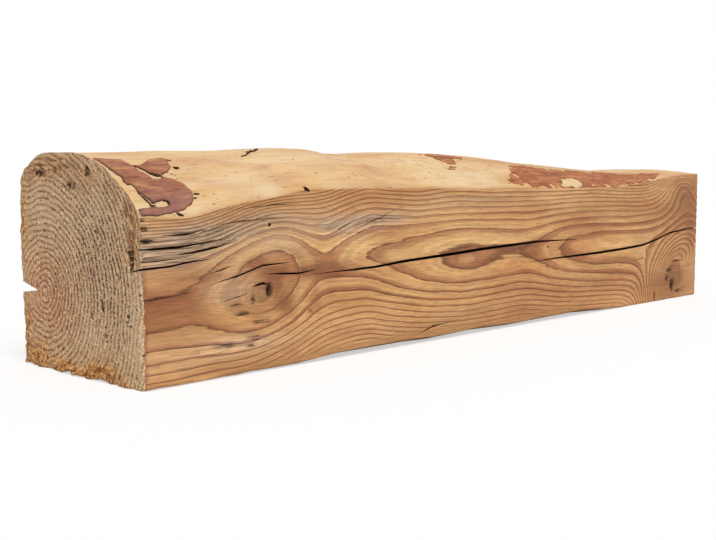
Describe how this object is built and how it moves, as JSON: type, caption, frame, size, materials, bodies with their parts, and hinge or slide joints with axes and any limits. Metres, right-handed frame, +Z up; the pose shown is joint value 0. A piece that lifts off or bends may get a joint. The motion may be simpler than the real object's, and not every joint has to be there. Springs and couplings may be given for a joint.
{
  "type": "timber beam",
  "caption": "Rustic solid softwood beam, sawn flat on the front, back, bed and ends, with a natural waney top, bark remnants, drying checks and knots; used as a lintel, post, mantel or stock.",
  "frame": {"origin": "middle of the bed, the sawn underside that the beam lies on", "axes": "+X along the length towards the end that the picture shows far away, +Y out of the sawn back face, so -Y is the front face with the long checks, +Z up through the natural top"},
  "size_m": [1, 0.2, 0.2095],
  "materials": {
    "timber": "rough sawn, weathered and unfinished softwood with a natural waney top"
  },
  "bodies": {
    "root": {"beam": "timber"}
  },
  "joints": []
}
